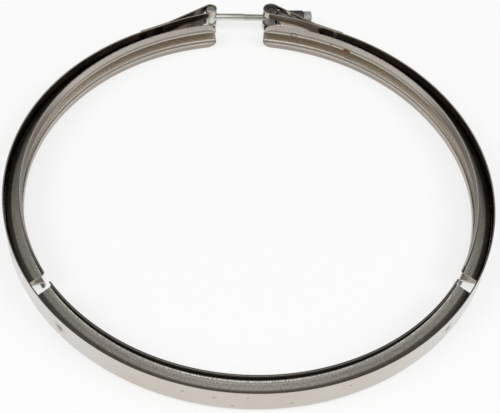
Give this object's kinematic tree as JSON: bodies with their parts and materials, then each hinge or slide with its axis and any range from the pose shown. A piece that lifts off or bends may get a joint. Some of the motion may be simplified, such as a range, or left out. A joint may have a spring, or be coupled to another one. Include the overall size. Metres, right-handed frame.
{
  "type": "exhaust clamp",
  "caption": "Round band clamp for flanged exhaust joints: a folded strap carries V-shaped retainers and closes with a T-bolt, trunnion, spacer sleeve and nut.",
  "frame": {"origin": "on the axis of the ring, midway between its two rims of feet", "axes": "+Z along the ring's axis, +Y towards the bolt gap, +X from the bolt's head to its nut"},
  "size_m": [0.35, 0.3653, 0.0242],
  "materials": {
    "strap_steel": "bright rolled",
    "retainer_steel": "brushed",
    "bolt_zinc": "dull zinc",
    "trunnion_steel": "turned",
    "sleeve_steel": "dark zinc",
    "nut_zinc": "zinc"
  },
  "bodies": {
    "ring": {"band": "strap_steel", "retainer_left": "retainer_steel", "retainer_front": "retainer_steel", "retainer_right": "retainer_steel"},
    "bolt": {"t_bolt": "bolt_zinc"},
    "trunnion": {"trunnion": "trunnion_steel"},
    "sleeve": {"spacer_sleeve": "sleeve_steel"},
    "nut": {"lock_nut": "nut_zinc"}
  },
  "joints": [
    {"name": "bolt_swing", "type": "hinge", "parent": "ring", "child": "bolt", "pos_m": [-0.02455, 0.1838, 0], "axis": [0, 0, 1], "range_deg": [-0.4, 0.4]},
    {"name": "trunnion_turn", "type": "hinge", "parent": "ring", "child": "trunnion", "pos_m": [0.02455, 0.1838, 0], "axis": [0, 0, 1], "range_deg": [-0.45, 0.45]},
    {"name": "sleeve_slide", "type": "slide", "parent": "bolt", "child": "sleeve", "axis": [1, 0, 0], "range_m": [0, 0.005]},
    {"name": "nut_turn", "type": "hinge", "parent": "sleeve", "child": "nut", "pos_m": [0.0545, 0.1838, 0], "axis": [1, 0, 0], "range_deg": [0, 1801]}
  ],
  "couplings": [
    {"joint": "trunnion_turn", "follows": "bolt_swing", "ratio": 1},
    {"joint": "nut_turn", "follows": "sleeve_slide", "rad_per_m": 6283.2}
  ]
}
